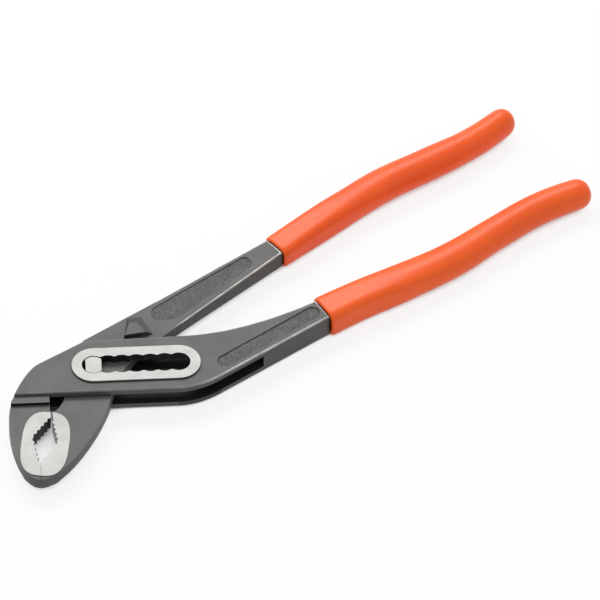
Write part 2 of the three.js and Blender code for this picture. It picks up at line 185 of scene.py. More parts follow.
class Nodes:
    """A small hand for wiring a material's nodes."""

    def __init__(self, name: str) -> None:
        """Starts an empty material.

        Args:
            name: The material's name.
        """
        self.material = bpy.data.materials.new(name)
        self.material.use_nodes = True
        self.tree = self.material.node_tree
        self.tree.nodes.clear()
        self.place = self.add("ShaderNodeTexCoord").outputs["Object"]

    def add(self, kind: str, settings: dict | None = None, **sockets: Feed) -> bpy.types.Node:
        """Adds a node, sets its options and fills or links its inputs.

        Args:
            kind: The node's type name.
            settings: Options set on the node itself.
            **sockets: Input values or output sockets by input name, with _ for a space.

        Returns:
            The new node.
        """
        node = self.tree.nodes.new(kind)
        for key, value in (settings or {}).items():
            setattr(node, key, value)
        for key, value in sockets.items():
            self.feed(node.inputs[key.replace("_", " ")], value)
        return node

    def feed(self, socket: bpy.types.NodeSocket, value: Feed) -> None:
        """Links an output to an input, or sets the input's value.

        Args:
            socket: The input.
            value: An output socket or a plain value.
        """
        if isinstance(value, bpy.types.NodeSocket):
            self.tree.links.new(value, socket)
        else:
            socket.default_value = value

    def noise(
        self, scale: float, detail: float = 2.0, place: bpy.types.NodeSocket | None = None
    ) -> bpy.types.NodeSocket:
        """Adds a noise texture.

        Args:
            scale: Features per metre.
            detail: Octaves of finer noise.
            place: Coordinates, or None for the object's own.

        Returns:
            The noise value.
        """
        vector = self.place if place is None else place
        node = self.add("ShaderNodeTexNoise", Vector=vector, Scale=scale, Detail=detail)
        return node.outputs["Fac"]

    def spread(self, value: Feed, span: Pair, result: Pair = FULL_SPAN) -> bpy.types.NodeSocket:
        """Maps a value from one span to another and clamps it.

        Args:
            value: The value to map.
            span: Start and end of its span.
            result: What they become.

        Returns:
            The mapped value.
        """
        node = self.add("ShaderNodeMapRange", Value=value)
        sockets = ("From Min", "From Max", "To Min", "To Max")
        for socket, number in zip(sockets, (*span, *result)):
            node.inputs[socket].default_value = number
        return node.outputs["Result"]

    def open_sky(self, reach: float) -> bpy.types.NodeSocket:
        """Measures how open a place is, from 0 in a deep corner to 1.

        Args:
            reach: How far other faces count, in metres.

        Returns:
            The open share.
        """
        node = self.add("ShaderNodeAmbientOcclusion", {"samples": OCCLUSION_SAMPLES}, Distance=reach)
        return node.outputs["AO"]

    def mark(self, name: str) -> bpy.types.NodeSocket:
        """Reads a number that is stored on the faces."""
        return self.add("ShaderNodeAttribute", {"attribute_name": name}).outputs["Fac"]

    def times(self, first: Feed, second: Feed) -> bpy.types.NodeSocket:
        """Multiplies two values.

        Args:
            first: A value or socket.
            second: A value or socket.

        Returns:
            The product.
        """
        node = self.add("ShaderNodeMath", {"operation": "MULTIPLY"})
        self.feed(node.inputs[0], first)
        self.feed(node.inputs[1], second)
        return node.outputs[0]

    def mix(self, share: Feed, first: Feed, second: Feed) -> bpy.types.NodeSocket:
        """Mixes two colours.

        Args:
            share: How much of the second colour.
            first: Colour or socket.
            second: Colour or socket.

        Returns:
            The mixed colour.
        """
        node = self.add("ShaderNodeMix", {"data_type": "RGBA"})
        self.feed(node.inputs[MIX_SHARE], share)
        self.feed(node.inputs[MIX_FIRST], first)
        self.feed(node.inputs[MIX_SECOND], second)
        return node.outputs[MIX_RESULT]

    def bump(
        self, height: Feed, depth: float, strength: float, normal: bpy.types.NodeSocket | None = None
    ) -> bpy.types.NodeSocket:
        """Adds a bump of a height pattern.

        Args:
            height: The pattern, from 0 to 1.
            depth: Its depth in metres.
            strength: Its strength.
            normal: A bump below this one, if any.

        Returns:
            The bent normal.
        """
        node = self.add("ShaderNodeBump", Height=height, Distance=depth, Strength=strength)
        if normal is not None:
            self.feed(node.inputs["Normal"], normal)
        return node.outputs["Normal"]

    def finish(self, **sockets: Feed) -> bpy.types.Material:
        """Adds the surface shader and the output.

        Args:
            **sockets: Inputs of the Principled shader, with _ for a space.

        Returns:
            The finished material.
        """
        shader = self.add("ShaderNodeBsdfPrincipled", **sockets)
        output = self.add("ShaderNodeOutputMaterial")
        self.tree.links.new(shader.outputs["BSDF"], output.inputs["Surface"])
        return self.material


@dataclass(frozen=True)
class ForgedSteel:
    """Grey phosphated forging: fine crystals, uneven tone and bright edges, partly abraded and partly a
    painted highlight, with painted shade on walls and in crevices.
    """

    name: str = "forged_phosphate_steel"
    dark: Colour = (0.09, 0.091, 0.087, 1.0)
    light: Colour = (0.126, 0.127, 0.121, 1.0)
    # Bright edges: partly abraded steel, partly a painted highlight.
    worn_and_highlit: Colour = (0.62, 0.62, 0.6, 1.0)
    # Painted shade: walls, corners and crevices are darkened towards this colour.
    shade_colour: Colour = (0.012, 0.012, 0.012, 1.0)
    crevice_shade_reach: float = 3.2 * MM
    crevice_shade_span: Pair = (0.3, 0.7)
    gloss: float = 0.3
    roughness: Pair = (0.42, 0.56)
    crystal_scale: float = 2400.0
    tone_scale: float = 110.0
    noise_detail: float = 3.0
    tone_share: float = 0.5
    tone_span: Pair = (0.38, 0.62)
    grain_depth: float = 0.03 * MM
    grain_strength: float = 0.35
    rub_and_highlight_scale: float = 160.0
    rub_and_highlight_shares: Pair = (0.4, 0.8)
    # Share of painted shade on every upright face.
    wall_shade: float = 0.28

    def build(self) -> bpy.types.Material:
        """Wires the material.

        Returns:
            The material.
        """
        nodes = Nodes(self.name)
        crystals = nodes.noise(self.crystal_scale, self.noise_detail)
        tone = nodes.noise(self.tone_scale, self.noise_detail)
        blend = nodes.mix(self.tone_share, crystals, tone)
        body = nodes.mix(nodes.spread(blend, self.tone_span), self.dark, self.light)
        # Painted shade: upright faces are darkened by a share.
        body = nodes.mix(nodes.times(nodes.mark("wall"), self.wall_shade), body, self.shade_colour)
        # Painted shade in corners, crevices and near the floor, from occlusion.
        unshaded = nodes.spread(nodes.open_sky(self.crevice_shade_reach), self.crevice_shade_span)
        body = nodes.mix(unshaded, self.shade_colour, body)
        # Bright edges: partly abraded steel, partly a painted highlight.
        rubbed_and_highlit = nodes.spread(nodes.noise(self.rub_and_highlight_scale), NOISE_SPAN, self.rub_and_highlight_shares)
        share = nodes.times(nodes.mark("wear_and_highlight"), rubbed_and_highlit)
        colour = nodes.mix(share, body, self.worn_and_highlit)
        rough = nodes.spread(crystals, NOISE_SPAN, self.roughness)
        normal = nodes.bump(crystals, self.grain_depth, self.grain_strength)
        return nodes.finish(
            Base_Color=colour, Roughness=rough, Normal=normal,
            Metallic=share, Specular_IOR_Level=self.gloss,
        )


@dataclass(frozen=True)
class StippledSteel:
    """Recessed arm panel: a cast stipple with dark hollows and rubbed tops."""

    name: str = "stippled_panel_steel"
    hollow: Colour = (0.04, 0.04, 0.038, 1.0)
    top: Colour = (0.15, 0.15, 0.145, 1.0)
    gloss: float = 0.3
    roughness: float = 0.52
    stipple_scale: float = 1700.0
    stipple_depth: float = 0.1 * MM
    stipple_strength: float = 0.6
    dot_span: Pair = (0.15, 0.75)
    dot_heights: Pair = (1.0, 0.0)
    patch_scale: float = 260.0
    patch_shares: Pair = (0.45, 1.0)
    grain_scale: float = 2600.0
    grain_depth: float = 0.02 * MM
    grain_strength: float = 0.3

    def build(self) -> bpy.types.Material:
        """Wires the material.

        Returns:
            The material.
        """
        nodes = Nodes(self.name)
        dots = nodes.add(
            "ShaderNodeTexVoronoi", {"feature": "SMOOTH_F1"}, Vector=nodes.place, Scale=self.stipple_scale
        ).outputs["Distance"]
        height = nodes.spread(dots, self.dot_span, self.dot_heights)
        patches = nodes.spread(nodes.noise(self.patch_scale), NOISE_SPAN, self.patch_shares)
        uneven = nodes.times(height, patches)
        colour = nodes.mix(uneven, self.hollow, self.top)
        fine = nodes.bump(nodes.noise(self.grain_scale), self.grain_depth, self.grain_strength)
        normal = nodes.bump(uneven, self.stipple_depth, self.stipple_strength, fine)
        return nodes.finish(
            Base_Color=colour, Roughness=self.roughness, Normal=normal, Specular_IOR_Level=self.gloss
        )


@dataclass(frozen=True)
class GroundSteel:
    """Bright surface-ground steel with fine straight grinding lines along the slot."""

    name: str = "ground_bright_steel"
    dull: Colour = (0.38, 0.38, 0.367, 1.0)
    bright: Colour = (0.53, 0.53, 0.512, 1.0)
    metallic: float = 0.1
    gloss: float = 0.2
    roughness: Pair = (0.30, 0.44)
    line_scale: float = 3800.0
    line_stretch: float = 40.0
    line_depth: float = 0.008 * MM
    line_strength: float = 0.25
    tone_scale: float = 180.0
    tone_detail: float = 3.0
    tone_share: float = 0.4
    tone_span: Pair = (0.32, 0.62)

    def build(self) -> bpy.types.Material:
        """Wires the material.

        Returns:
            The material.
        """
        nodes = Nodes(self.name)
        heading = math.atan2(SLOT.y, SLOT.x)
        turned = nodes.add("ShaderNodeMapping", Vector=nodes.place, Rotation=(0.0, 0.0, -heading))
        stretched = nodes.add(
            "ShaderNodeMapping", Vector=turned.outputs["Vector"], Scale=(1.0 / self.line_stretch, 1.0, 1.0)
        )
        lines = nodes.noise(self.line_scale, place=stretched.outputs["Vector"])
        tone = nodes.noise(self.tone_scale, self.tone_detail)
        share = nodes.spread(nodes.mix(self.tone_share, lines, tone), self.tone_span)
        colour = nodes.mix(share, self.dull, self.bright)
        rough = nodes.spread(lines, NOISE_SPAN, self.roughness)
        normal = nodes.bump(lines, self.line_depth, self.line_strength)
        return nodes.finish(
            Base_Color=colour, Roughness=rough, Normal=normal,
            Metallic=self.metallic, Specular_IOR_Level=self.gloss,
        )


@dataclass(frozen=True)
class DippedVinyl:
    """Orange dipped plastic: soft gloss, slight orange peel and uneven thickness."""

    name: str = "dipped_orange_vinyl"
    deep: Colour = (0.88, 0.096, 0.003, 1.0)
    full: Colour = (0.94, 0.114, 0.004, 1.0)
    gloss: float = 0.42
    roughness: Pair = (0.34, 0.42)
    cloud_scale: float = 60.0
    cloud_detail: float = 3.0
    cloud_span: Pair = (0.35, 0.65)
    peel_scale: float = 900.0
    peel_depth: float = 0.03 * MM
    peel_strength: float = 0.22
    wave_scale: float = 150.0
    wave_detail: float = 1.0
    wave_depth: float = 0.12 * MM
    wave_strength: float = 0.25

    def build(self) -> bpy.types.Material:
        """Wires the material.

        Returns:
            The material.
        """
        nodes = Nodes(self.name)
        cloud = nodes.noise(self.cloud_scale, self.cloud_detail)
        peel = nodes.noise(self.peel_scale)
        colour = nodes.mix(nodes.spread(cloud, self.cloud_span), self.deep, self.full)
        rough = nodes.spread(peel, NOISE_SPAN, self.roughness)
        waves = nodes.noise(self.wave_scale, self.wave_detail)
        wavy = nodes.bump(waves, self.wave_depth, self.wave_strength)
        normal = nodes.bump(peel, self.peel_depth, self.peel_strength, wavy)
        return nodes.finish(
            Base_Color=colour, Roughness=rough, Normal=normal, Specular_IOR_Level=self.gloss
        )


class Finishes:
    """The materials that the pieces share, made once."""

    def __init__(self) -> None:
        """Builds every finish."""
        self.steel = {
            Role.FORGED: ForgedSteel().build(),
            Role.GROUND: GroundSteel().build(),
            Role.PANEL: StippledSteel().build(),
            # Painted shade: the forged steel made darker.
            Role.SCALED: ForgedSteel(
                "shaded_forged_steel", dark=(0.03, 0.03, 0.029, 1.0), light=(0.06, 0.06, 0.058, 1.0)
            ).build(),
            # Painted shadow: near black forged steel.
            Role.SOOTED: ForgedSteel(
                "shadow_black_steel", dark=(0.012, 0.012, 0.012, 1.0), light=(0.022, 0.022, 0.022, 1.0),
                shade_colour=(0.003, 0.003, 0.003, 1.0), gloss=0.1,
            ).build(),
        }
        self.vinyl = DippedVinyl().build()


@dataclass
class SteelPiece:
    """A refined copy of one steel CAD node.

    Lengths without MM are in mm from the bolt: along the slot, to its left and up.
    """

    name: str
    node: str
    body: str
    slot: str
    smooth_angle: float = math.radians(50.0)
    flat_angle: float = math.radians(0.3)
    flat_limit: float = 0.99
    slant_limit: float = 0.97
    upright_limit: float = 0.15
    level_slack: float = 0.05 * MM
    edge_width: float = 0.6 * MM
    # The edges' abrasion and painted highlight grow from here to full along the arm.
    wear_and_highlight_start: float = 25.0
    wear_and_highlight_full: float = 60.0
    wear_and_highlight_least: float = 0.2
    hollow_centre: Pair = (-19.3, -33.3)
    hollow_reach: float = 12.0
    hollow_slack: float = 1.5
    land_foot: float = 2.45
    land_top: float = 2.9
    land_height: float = 2.8 * MM
    piece: bpy.types.Object = field(init=False, default=None)

    def build(self) -> bpy.types.Object:
        """Copies the node, welds it and joins its flat faces.

        Returns:
            The new piece.
        """
        mesh = frame["nodes"][self.node].data.copy()
        self.piece = bpy.data.objects.new(self.name, mesh)
        bpy.context.scene.collection.objects.link(self.piece)
        take_hold(self.piece)
        bpy.ops.object.mode_set(mode="EDIT")
        bpy.ops.mesh.select_mode(type="FACE")
        bpy.ops.mesh.select_all(action="SELECT")
        bpy.ops.mesh.customdata_custom_splitnormals_clear()
        bpy.ops.mesh.remove_doubles(threshold=WELD)
        bpy.ops.mesh.dissolve_limited(angle_limit=self.flat_angle)
        bpy.ops.object.mode_set(mode="OBJECT")
        log.info("%s: %d faces", self.name, len(mesh.polygons))
        return self.piece

    def place_of(self, face: bpy.types.MeshPolygon) -> Vector:
        """Finds the middle of a face from the bolt.

        Args:
            face: The face.

        Returns:
            Its distances along the slot, to the slot's left and up, in mm.
        """
        offset = (face.center - BOLT) / MM
        return Vector((offset.dot(SLOT), offset.dot(SIDE), offset.z))

    def reach_up(self, face: bpy.types.MeshPolygon) -> float:
        """Finds how far a face reaches over or under the middle plane, in mm."""
        return max(abs(self.piece.data.vertices[i].co.z - BOLT.z) for i in face.vertices) / MM

    def is_upright(self, face: bpy.types.MeshPolygon) -> bool:
        """Says if a face is a wall."""
        return abs(face.normal.z) < self.upright_limit

    def is_tooth(self, face: bpy.types.MeshPolygon) -> bool:
        """Says if a face is part of the teeth round the hollow between the jaws.

        Args:
            face: The face.

        Returns:
            True if it is.
        """
        inward = Vector(self.hollow_centre) - self.place_of(face).xy
        outlook = Vector((face.normal.dot(SLOT), face.normal.dot(SIDE)))
        near = inward.length < self.hollow_reach
        return self.is_upright(face) and near and inward.dot(outlook) > -self.hollow_slack

    def is_land_wall(self, face: bpy.types.MeshPolygon) -> bool:
        """Says if a face is the low wall round the jaws' ground oval."""
        over_foot = abs(self.place_of(face).z) > self.land_foot
        return self.is_upright(face) and over_foot and self.reach_up(face) < self.land_top

    def shift_faces(self, wanted: FaceTest, along: float) -> None:
        """Moves some faces along the slot.

        Args:
            wanted: The test for one face.
            along: How far towards the handles, in mm.
        """
        count = pick_faces(self.piece, wanted)
        bpy.ops.object.mode_set(mode="EDIT")
        bpy.ops.transform.translate(value=SLOT * along * MM)
        bpy.ops.object.mode_set(mode="OBJECT")
        log.info("%s: %d faces moved %.2f mm", self.name, count, along)

    def is_level(self, face: bpy.types.MeshPolygon, heights: list[float]) -> bool:
        """Says if a face lies flat at one of some heights over or under the middle plane.

        Args:
            face: The face.
            heights: Heights from the middle plane, in metres.

        Returns:
            True if it does.
        """
        if abs(face.normal.z) < self.flat_limit:
            return False
        height = abs(face.center.z - BOLT.z)
        return any(abs(height - level) < self.level_slack for level in heights)

    def assign(self, role: Role, wanted: FaceTest) -> None:
        """Gives the faces that pass a test the material of a role.

        Args:
            role: The role.
            wanted: The test for one face.
        """
        count = pick_faces(self.piece, wanted)
        bpy.ops.object.mode_set(mode="EDIT")
        self.piece.active_material_index = role.value
        bpy.ops.object.material_slot_assign()
        bpy.ops.object.mode_set(mode="OBJECT")
        log.info("%s: %d faces %s", self.name, count, role.name.lower())

    def is_slanted(self, face: bpy.types.MeshPolygon) -> bool:
        """Says if a face is neither level nor upright."""
        return self.upright_limit < abs(face.normal.z) < self.slant_limit

    def is_narrow(self, face: bpy.types.MeshPolygon) -> bool:
        """Says if a face is a strip no wider than a rounded edge.

        Args:
            face: The face.

        Returns:
            True if it is.
        """
        corners = [self.piece.data.vertices[i].co for i in face.vertices]
        around = sum((a - b).length for a, b in zip(corners, corners[1:] + corners[:1]))
        return 2 * face.area / around < self.edge_width

    def mark_edges_and_walls(self) -> None:
        """Marks the rounded edges as bright, partly abraded and partly a painted highlight that grows
        towards the handles, and marks the walls for painted shade.
        """
        wear_and_highlight = self.piece.data.attributes.new("wear_and_highlight", "FLOAT", "FACE")
        wall = self.piece.data.attributes.new("wall", "FLOAT", "FACE")
        for face in self.piece.data.polygons:
            along = self.place_of(face).x
            handled = smooth((along - self.wear_and_highlight_start) / (self.wear_and_highlight_full - self.wear_and_highlight_start))
            rubbed_and_highlit = self.wear_and_highlight_least + (1 - self.wear_and_highlight_least) * handled
            # Narrow slanted faces are the rounded edges, which get abrasion and a painted highlight.
            worn_and_highlit = self.is_slanted(face) and self.is_narrow(face)
            wear_and_highlight.data[face.index].value = rubbed_and_highlit if worn_and_highlit else 0.0
            # Marks every upright face for painted shade.
            wall.data[face.index].value = 1.0 if self.is_upright(face) else 0.0

    def dress(self, finishes: Finishes) -> None:
        """Gives the piece its materials, smooth rounds and place in the model.

        Args:
            finishes: The shared materials.
        """
        self.piece.data.materials.clear()
        for role in Role:
            self.piece.data.materials.append(finishes.steel[role])
        self.mark_edges_and_walls()
        self.finish_faces()
        take_hold(self.piece)
        bpy.ops.object.shade_smooth_by_angle(angle=self.smooth_angle)
        bpy.ops.object.modifier_add(type="WEIGHTED_NORMAL")
        self.piece.modifiers[-1].keep_sharp = True
        bpy.ops.object.modifier_apply(modifier=self.piece.modifiers[-1].name)
        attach(self.piece, self.body)
        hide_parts(self.node)

    def finish_faces(self) -> None:
        """Gives single faces their own finish."""
        raise NotImplementedError


@dataclass
class OuterLever(SteelPiece):
    """Outer lever: ground slot ring, ground jaw oval and stippled arm panels."""

    panel_height: float = 4.7 * MM
    box_half: float = 5.1
    cavity_half: float = 2.7
    cavity_low: float = -17.0
    slot_ends: Pair = (-6.5, 38.5)
    slot_half: float = 5.2
    step_end: float = -8.0
    step_low: float = -20.0
    step_facing: float = -0.8
    lip_facing: float = -0.3
    lip_ends: Pair = (8.0, 70.0)

    def is_head_step(self, face: bpy.types.MeshPolygon) -> bool:
        """Says if a face is a step of the head over the jaw.

        Args:
            face: The face.

        Returns:
            True if it is.
        """
        spot = self.place_of(face)
        facing = face.normal.dot(SIDE) < self.step_facing
        return self.is_upright(face) and facing and spot.x < self.step_end and spot.y > self.step_low

    def is_lower_lip(self, face: bpy.types.MeshPolygon) -> bool:
        """Says if a face is the wall of the cheek next to the floor, under the open side of the box.

        Args:
            face: The face.

        Returns:
            True if it is.
        """
        spot = self.place_of(face)
        facing = face.normal.dot(SIDE) < self.lip_facing
        under = spot.z < -self.cavity_half and self.lip_ends[0] < spot.x < self.lip_ends[1]
        return self.is_upright(face) and facing and under

    def is_inside(self, face: bpy.types.MeshPolygon) -> bool:
        """Says if a face is inside the box: a cavity face or a wall of the slot.

        Args:
            face: The face.

        Returns:
            True if it is.
        """
        spot = self.place_of(face)
        cheek = abs(face.normal.z) > self.flat_limit and face.normal.z * spot.z < 0
        end_wall = self.is_upright(face) and spot.y > self.cavity_low
        if self.reach_up(face) < self.cavity_half and (cheek or end_wall):
            return True
        along = self.slot_ends[0] < spot.x < self.slot_ends[1]
        return self.is_upright(face) and along and abs(spot.y) < self.slot_half

    def finish_faces(self) -> None:
        """Grinds the ring and the jaw's oval, stipples the panels, paints shade on the ring's and the oval's
        walls, the teeth and the cheek's lip, and paints the inside and the head's step near black as shadow.
        """
        # Painted shade on the ring's outer wall.
        self.assign(
            Role.SCALED,
            lambda face: self.is_upright(face) and abs(self.place_of(face).z) > self.box_half,
        )
        # Painted shade on the oval's wall and on the teeth, which face away from the light.
        self.assign(Role.SCALED, self.is_land_wall)
        self.assign(Role.SCALED, self.is_tooth)
        # Painted shadow on the head's step over the jaw.
        self.assign(Role.SOOTED, self.is_head_step)
        # Painted shade on the cheek's wall next to the floor.
        self.assign(Role.SCALED, self.is_lower_lip)
        # Painted shadow inside the box and on the slot's walls.
        self.assign(Role.SOOTED, self.is_inside)
        ring_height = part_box(self.node)[1].z - BOLT.z
        self.assign(Role.GROUND, lambda face: self.is_level(face, [ring_height, self.land_height]))
        self.assign(Role.PANEL, lambda face: self.is_level(face, [self.panel_height]))


@dataclass
class InnerLever(SteelPiece):
    """Inner lever: ground jaw oval and stippled panels in its tapered arm."""

    arm_angle: float = math.radians(36.6)
    taper_start: float = 36.0 * MM
    taper_end: float = 92.0 * MM
    half_at_start: float = 2.5 * MM
    half_at_end: float = 4.0 * MM
    panel_drop: float = 0.2 * MM
    panel_start: float = 30.0 * MM
    slit_place: Pair = (-16.6, -21.5)
    slit_slack: Pair = (0.4, 1.2)
    slit_facing: float = -0.97
    slit_shift: float = 0.75

    def build(self) -> bpy.types.Object:
        """Copies the node and opens its side of the slit over the hollow.

        Returns:
            The new piece.
        """
        super().build()
        self.shift_faces(self.is_slit_face, self.slit_shift)
        return self.piece

    def is_slit_face(self, face: bpy.types.MeshPolygon) -> bool:
        """Says if a face is this jaw's side of the slit over the hollow.

        Args:
            face: The face.

        Returns:
            True if it is.
        """
        spot = self.place_of(face)
        rows = zip(spot.xy, self.slit_place, self.slit_slack)
        near = all(abs(found - place) < slack for found, place, slack in rows)
        return face.normal.dot(SLOT) < self.slit_facing and near

    def is_panel(self, face: bpy.types.MeshPolygon) -> bool:
        """Says if a face is the floor of a panel, below the arm's tapered face.

        Args:
            face: The face.

        Returns:
            True if it is.
        """
        if abs(face.normal.z) < self.flat_limit:
            return False
        offset = face.center - BOLT
        reach = offset.dot(SLOT) * math.cos(self.arm_angle) + offset.dot(SIDE) * math.sin(self.arm_angle)
        share = (reach - self.taper_start) / (self.taper_end - self.taper_start)
        arm_face = self.half_at_start + (self.half_at_end - self.half_at_start) * share
        return reach > self.panel_start and abs(offset.z) < arm_face - self.panel_drop

    def finish_faces(self) -> None:
        """Grinds the jaw's oval, stipples the panels and paints shade on the oval's wall and the lug's
        slopes.
        """
        # Painted shade on the oval's wall.
        self.assign(Role.SCALED, self.is_land_wall)
        # The teeth get the bright ground finish, partly a painted highlight on the flank that faces the
        # light, while the other jaw's teeth carry painted shade.
        self.assign(Role.GROUND, lambda face: self.is_level(face, [self.land_height]) or self.is_tooth(face))
        self.assign(Role.PANEL, self.is_panel)
        # Painted shade on the lug's slopes.
        self.assign(Role.SCALED, lambda face: self.is_slanted(face) and not self.is_narrow(face))


@dataclass
class BrightPin(SteelPiece):
    """A bolt or pin, bright all over."""

    def finish_faces(self) -> None:
        """Grinds every face."""
        self.assign(Role.GROUND, lambda face: True)


@dataclass
class CorePin:
    """Round core of the bolt, flush in its bore with a hairline round it."""

    name: str
    node: str
    body: str
    slot: str
    bore_radius: float = 1.7 * MM
    hairline: float = 0.004 * MM
    edge: float = 0.006 * MM
    edge_steps: int = 2
    end_facing: float = 0.9
    sides: int = 48
    smooth_angle: float = math.radians(20.0)
    piece: bpy.types.Object = field(init=False, default=None)

    def build(self) -> bpy.types.Object:
        """Turns the core: a cylinder with broken edges.

        Returns:
            The new piece.
        """
        low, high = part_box(self.node)
        bpy.ops.object.select_all(action="DESELECT")
        bpy.ops.mesh.primitive_cylinder_add(
            vertices=self.sides, radius=self.bore_radius - self.hairline, depth=high.z - low.z, location=BOLT
        )
        self.piece = bpy.context.object
        self.piece.name = self.name
        bpy.ops.object.transform_apply(location=True, rotation=True, scale=True)
        pick_faces(self.piece, lambda face: abs(face.normal.z) > self.end_facing)
        bpy.ops.object.mode_set(mode="EDIT")
        bpy.ops.mesh.select_mode(type="FACE")
        bpy.ops.mesh.bevel(offset=self.edge, segments=self.edge_steps, affect="EDGES")
        bpy.ops.object.mode_set(mode="OBJECT")
        log.info("%s: %d faces", self.name, len(self.piece.data.polygons))
        return self.piece

    def dress(self, finishes: Finishes) -> None:
        """Gives the core its bright finish and its place in the model.

        Args:
            finishes: The shared materials.
        """
        self.piece.data.materials.clear()
        self.piece.data.materials.append(finishes.steel[Role.GROUND])
        take_hold(self.piece)
        bpy.ops.object.shade_smooth_by_angle(angle=self.smooth_angle)
        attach(self.piece, self.body)
        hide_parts(self.node)


@dataclass
class Grip:
    """A dipped sleeve along one handle, square like the arm at its start and round further on.

    Lengths are in mm, from the bolt along the slot and to its left, as in the CAD model.
    """

    name: str
    node: str
    body: str
    start: Pair
    length: float
    angle: float
    bows: list[float]
    half_widths: list[float]
    arm_thickness: float
    mouth: float = 6.3
    coat: float = 0.7
    rise_length: float = 30.0
    square_start: float = 8.0
    square_length: float = 55.0
    corner: float = 1.4
    corner_steps: int = 5
    flat_cuts: int = 5
    lip: float = 0.9
    lip_steps: int = 4
    rings: int = 30
    dome_steps: int = 8
    dome_power: float = 2.4
    tip_allowance: float = 0.3
    socket_half: float = 3.9
    socket_end_half: float = 2.7
    end_wall: float = 3.2
    line_steps: int = 32
    smooth_levels: int = 1
    smooth_angle: float = math.radians(60.0)
    piece: bpy.types.Object = field(init=False, default=None)

    def half_height(self) -> float:
        """Works out the sleeve's half height past its start from the frame.

        Returns:
            The half height in mm.
        """
        low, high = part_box(self.node)
        return (high.z - low.z) / 2 / MM

    def size_at(self, reach: float) -> Pair:
        """Works out the sleeve's section at a distance along the handle.

        Args:
            reach: Distance along the handle's line in mm.

        Returns:
            Half width and half height in mm.
        """
        place = reach / self.length * (len(self.half_widths) - 1)
        step = min(int(place), len(self.half_widths) - 2)
        share = smooth(place - step)
        width = self.half_widths[step] * (1 - share) + self.half_widths[step + 1] * share
        rise = smooth((reach - self.mouth) / self.rise_length)
        start_height = self.arm_thickness / 2 + self.coat
        height = start_height * (1 - rise) + self.half_height() * rise
        into_lip = min((reach - self.mouth) / self.lip, 1.0)
        drawn = self.lip * (1 - math.sqrt(max(1 - (1 - into_lip) ** 2, 0.0)))
        dome_length = self.half_height()
        into_dome = max((reach - self.length + dome_length) / dome_length, 0.0)
        dome = max(1 - into_dome**self.dome_power, 0.0) ** (1 / self.dome_power)
        return (width - drawn) * dome, (height - drawn) * dome

    def stations(self) -> list[float]:
        """Lists where the sleeve's rings are.

        Returns:
            Distances along the handle's line in mm.
        """
        lip = [self.mouth + self.lip * (1 - math.cos(i / self.lip_steps * math.pi / 2))
               for i in range(self.lip_steps)]
        body_end = self.length - self.half_height()
        body_start = self.mouth + self.lip
        body = [body_start + (body_end - body_start) * i / (self.rings - 1) for i in range(self.rings)]
        dome = [body_end + self.half_height() * math.sin(i / self.dome_steps * math.pi / 2)
                for i in range(1, self.dome_steps)]
        return lip + body + dome

    def rounding_between(self, before: float, reach: float) -> float:
        """Works out how much rounder the section gets between two stations.

        Args:
            before: The station before, in mm.
            reach: This station, in mm.

        Returns:
            The share of the way left to a circle.
        """
        square_end = self.mouth + self.square_start
        start, end = (smooth((place - square_end) / self.square_length) for place in (before, reach))
        return (end - start) / (1 - start) if start < 1 else 0.0

    def fit_ring(self, reach: float, width: float, height: float, rounding: float) -> None:
        """Rounds the selected ring and brings it to a size.

        Args:
            reach: The ring's place along the straight sleeve in mm.
            width: Half width in mm.
            height: Half height in mm.
            rounding: How far it goes to a circle, from 0 to 1.
        """
        centre = (reach * MM, 0.0, 0.0)
        if rounding > 0:
            bpy.ops.transform.tosphere(value=rounding, center_override=centre)
        self.piece.update_from_editmode()
        ring = [vertex.co for vertex in self.piece.data.vertices if vertex.select]
        across = max(abs(point.y) for point in ring)
        up = max(abs(point.z) for point in ring)
        bpy.ops.transform.resize(
            value=(1.0, width * MM / across, height * MM / up), center_override=centre
        )

    def start_ring(self, reach: float, half: float) -> None:
        """Adds a square ring with rounded corners across the straight sleeve.

        Args:
            reach: Its place in mm.
            half: Half its width and height in mm.
        """
        bpy.ops.object.select_all(action="DESELECT")
        bpy.ops.mesh.primitive_plane_add(
            size=2 * half * MM, location=(reach * MM, 0.0, 0.0), rotation=(0.0, math.pi / 2, 0.0)
        )
        self.piece = bpy.context.object
        self.piece.name = self.name
        bpy.ops.object.transform_apply(location=True, rotation=True, scale=True)
        bpy.ops.object.mode_set(mode="EDIT")
        bpy.ops.mesh.select_mode(type="VERT")
        bpy.ops.mesh.select_all(action="SELECT")
        bpy.ops.mesh.bevel(offset=self.corner * MM, segments=self.corner_steps, affect="VERTICES")
        bpy.ops.mesh.select_all(action="SELECT")
        bpy.ops.mesh.delete(type="ONLY_FACE")
        bpy.ops.object.mode_set(mode="OBJECT")
        points = self.piece.data.vertices
        points.foreach_set("select", [False] * len(points))
        for edge in self.piece.data.edges:
            first, last = (points[i].co for i in edge.vertices)
            edge.select = (first - last).length > half * MM / 2
        bpy.ops.object.mode_set(mode="EDIT")
        bpy.ops.mesh.select_mode(type="EDGE")
        bpy.ops.mesh.subdivide(number_cuts=self.flat_cuts)
        bpy.ops.mesh.select_all(action="SELECT")

    def carry_on(self, step: float) -> None:
        """Extrudes the selected ring along the straight sleeve.

        Args:
            step: How far in mm.
        """
        bpy.ops.mesh.extrude_edges_move(TRANSFORM_OT_translate={"value": (step * MM, 0.0, 0.0)})

